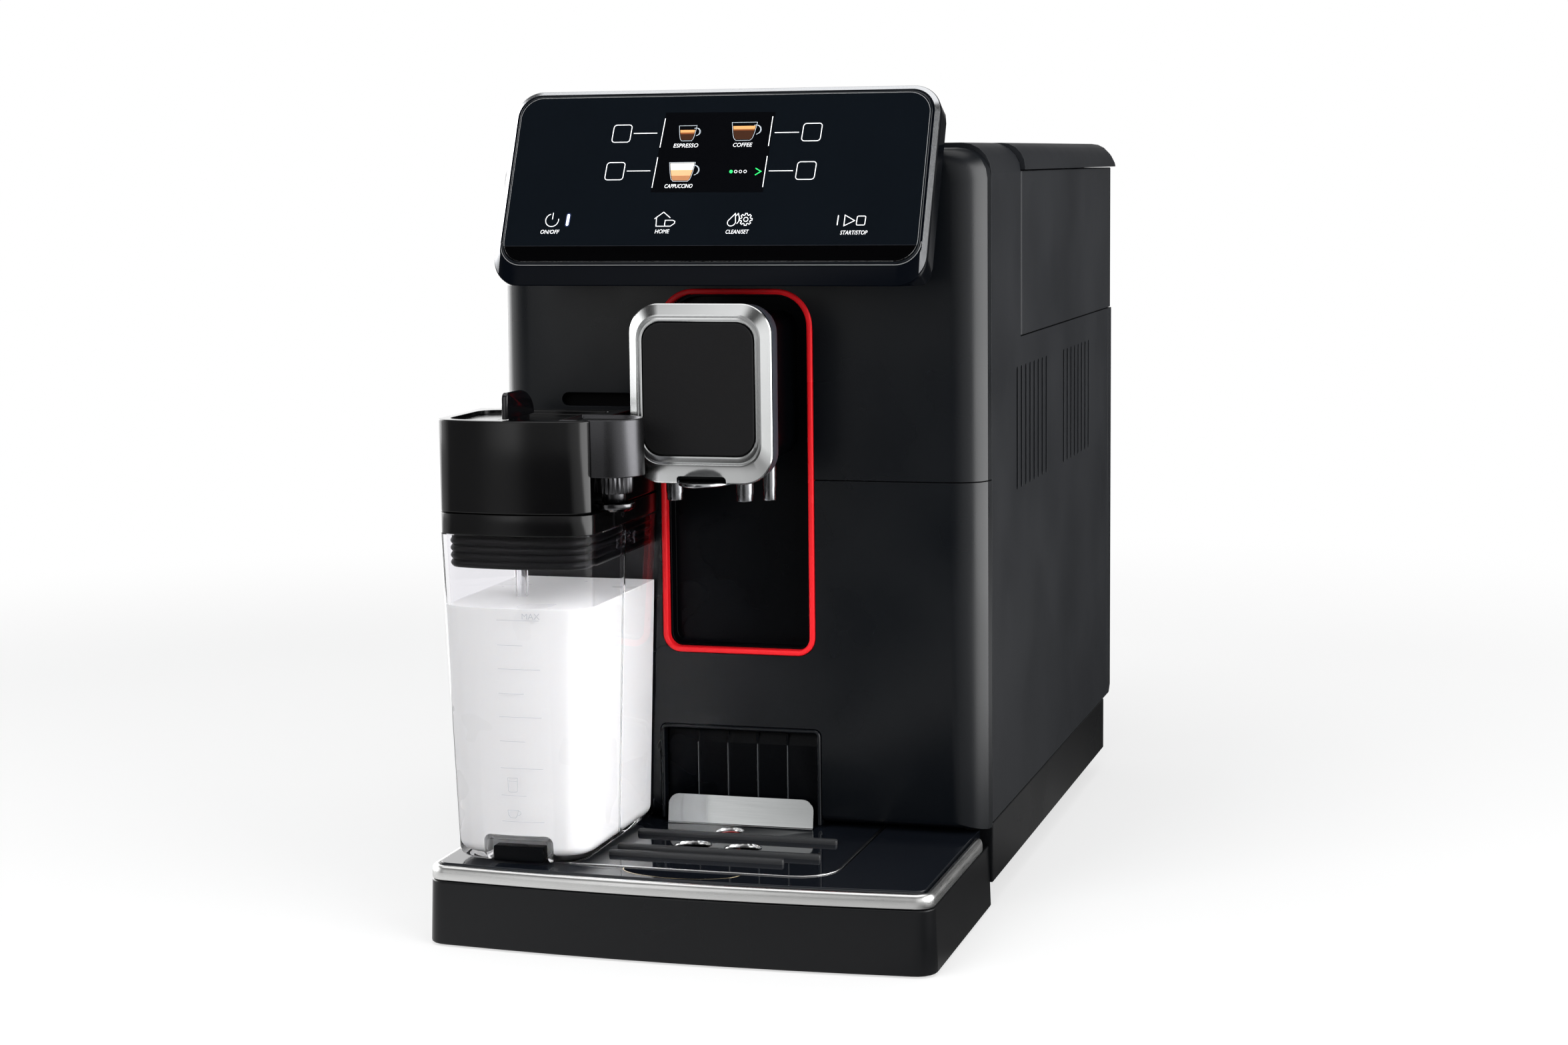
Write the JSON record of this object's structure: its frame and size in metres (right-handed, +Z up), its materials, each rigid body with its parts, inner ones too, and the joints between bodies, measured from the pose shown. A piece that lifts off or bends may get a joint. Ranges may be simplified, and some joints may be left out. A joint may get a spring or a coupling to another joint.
{
  "type": "bean to cup coffee machine",
  "caption": "Black bean to cup coffee machine with leaning touch panel, height adjustable spout, milk carafe, drip tray, lidded water tank and bean hopper.",
  "frame": {"origin": "centre of the footprint on the worktop", "axes": "+X to the machine's right as seen from the front, +Y to the back, +Z up; the front faces -Y"},
  "size_m": [0.224, 0.435, 0.3563],
  "materials": {
    "base_chassis": "fine grain",
    "foot_front_left": "matt",
    "foot_front_right": "matt",
    "foot_rear_left": "matt",
    "foot_rear_right": "matt",
    "inner_frame": "moulded",
    "main_housing": "fine grain",
    "service_door": "fine grain",
    "front_cover_upper": "satin gloss",
    "front_cover_lower": "satin gloss",
    "docking_port": "matt",
    "container_surround": "gloss",
    "red_trim": "satin gloss",
    "slide_channel": "satin",
    "rear_panel": "fine grain",
    "power_inlet": "matt",
    "switch_well": "matt",
    "power_switch": "gloss",
    "water_tank": "fine grain",
    "tank_lid": "fine grain",
    "top_cover": "fine grain",
    "hopper_lid": "smoked",
    "bean_hopper": "smoked",
    "grinder": "moulded",
    "grind_knob": "gloss",
    "chute_lid": "fine grain",
    "chute_funnel": "moulded",
    "brew_group": "moulded",
    "boiler": "satin",
    "water_pump": "moulded",
    "panel_housing": "gloss",
    "display_screen": "dark screen",
    "panel_bezel": "satin silver",
    "panel_glass": "gloss black",
    "spout_body": "satin gloss",
    "spout_frame": "satin silver",
    "spout_insert": "fine grain",
    "spout_finger_lip": "polished",
    "coffee_nozzle_left": "polished",
    "coffee_nozzle_right": "polished",
    "hot_water_nozzle": "polished",
    "drip_tray": "fine grain",
    "tray_band": "satin",
    "tray_cover": "gloss",
    "cup_grille": "gloss",
    "grille_rim": "polished",
    "splash_plate": "polished",
    "tray_float": "gloss",
    "inner_tray": "fine grain",
    "grounds_container": "satin",
    "carafe_jug": "clear",
    "milk": "liquid",
    "lid_gasket": "satin",
    "suction_tube": "clear",
    "carafe_collar": "satin",
    "carafe_cover": "satin gloss",
    "parking_cap": "polished",
    "milk_arm": "dark metallic",
    "slide_tab": "gloss",
    "milk_nozzle": "polished"
  },
  "bodies": {
    "machine": {"base_chassis": "base_chassis", "foot_front_left": "foot_front_left", "foot_front_right": "foot_front_right", "foot_rear_left": "foot_rear_left", "foot_rear_right": "foot_rear_right", "inner_frame": "inner_frame", "main_housing": "main_housing", "front_cover_upper": "front_cover_upper", "front_cover_lower": "front_cover_lower", "docking_port": "docking_port", "container_surround": "container_surround", "red_trim": "red_trim", "slide_channel": "slide_channel", "rear_panel": "rear_panel", "power_inlet": "power_inlet", "switch_well": "switch_well", "top_cover": "top_cover", "bean_hopper": "bean_hopper", "grinder": "grinder", "chute_funnel": "chute_funnel", "brew_group": "brew_group", "boiler": "boiler", "water_pump": "water_pump", "panel_housing": "panel_housing", "display_screen": "display_screen", "panel_bezel": "panel_bezel", "panel_glass": "panel_glass"},
    "service_door": {"service_door": "service_door"},
    "power_switch": {"power_switch": "power_switch"},
    "water_tank": {"water_tank": "water_tank"},
    "tank_lid": {"tank_lid": "tank_lid"},
    "hopper_lid": {"hopper_lid": "hopper_lid"},
    "grind_knob": {"grind_knob": "grind_knob"},
    "chute_lid": {"chute_lid": "chute_lid"},
    "coffee_spout": {"spout_body": "spout_body", "spout_frame": "spout_frame", "spout_insert": "spout_insert", "spout_finger_lip": "spout_finger_lip", "coffee_nozzle_left": "coffee_nozzle_left", "coffee_nozzle_right": "coffee_nozzle_right", "hot_water_nozzle": "hot_water_nozzle"},
    "drip_tray": {"drip_tray": "drip_tray", "tray_band": "tray_band", "tray_cover": "tray_cover", "cup_grille": "cup_grille", "grille_rim": "grille_rim", "splash_plate": "splash_plate", "inner_tray": "inner_tray", "grounds_container": "grounds_container"},
    "tray_float": {"tray_float": "tray_float"},
    "milk_carafe": {"carafe_jug": "carafe_jug", "milk": "milk", "lid_gasket": "lid_gasket", "suction_tube": "suction_tube", "carafe_collar": "carafe_collar", "carafe_cover": "carafe_cover", "parking_cap": "parking_cap"},
    "milk_arm": {"milk_arm": "milk_arm", "slide_tab": "slide_tab", "milk_nozzle": "milk_nozzle"}
  },
  "joints": [
    {"name": "tray_slide", "type": "slide", "parent": "machine", "child": "drip_tray", "axis": [0, -1, 0], "range_m": [0, 0.17]},
    {"name": "float_rise", "type": "slide", "parent": "drip_tray", "child": "tray_float", "axis": [0, 0, 1], "range_m": [0, 0.004]},
    {"name": "spout_height", "type": "slide", "parent": "machine", "child": "coffee_spout", "axis": [0, 0, -1], "range_m": [0, 0.073]},
    {"name": "carafe_pull", "type": "slide", "parent": "machine", "child": "milk_carafe", "axis": [0, -1, 0], "range_m": [0, 0.12]},
    {"name": "milk_arm_slide", "type": "slide", "parent": "milk_carafe", "child": "milk_arm", "axis": [1, 0, 0], "range_m": [0, 0.024]},
    {"name": "tank_lift", "type": "slide", "parent": "machine", "child": "water_tank", "axis": [0, 0, 1], "range_m": [0, 0.12]},
    {"name": "tank_lid_hinge", "type": "hinge", "parent": "water_tank", "child": "tank_lid", "pos_m": [0.0205, 0.09245, 0.3325], "axis": [0, -1, 0], "range_deg": [0, 80]},
    {"name": "hopper_lid_hinge", "type": "hinge", "parent": "machine", "child": "hopper_lid", "pos_m": [-0.0455, 0.17, 0.3325], "axis": [-1, 0, 0], "range_deg": [0, 95]},
    {"name": "grind_knob_turn", "type": "hinge", "parent": "machine", "child": "grind_knob", "pos_m": [-0.0455, 0.15, 0.3235], "axis": [0, 0, 1], "range_deg": [-120, 120]},
    {"name": "chute_lid_hinge", "type": "hinge", "parent": "machine", "child": "chute_lid", "pos_m": [-0.047, -0.046, 0.3325], "axis": [-1, 0, 0], "range_deg": [0, 95]},
    {"name": "service_door_hinge", "type": "hinge", "parent": "machine", "child": "service_door", "pos_m": [-0.11, 0.142, 0.161], "axis": [0, 0, -1], "range_deg": [0, 110]},
    {"name": "power_switch_rock", "type": "hinge", "parent": "machine", "child": "power_switch", "pos_m": [0.086, 0.213, 0.066], "axis": [1, 0, 0], "range_deg": [-8, 8]}
  ]
}
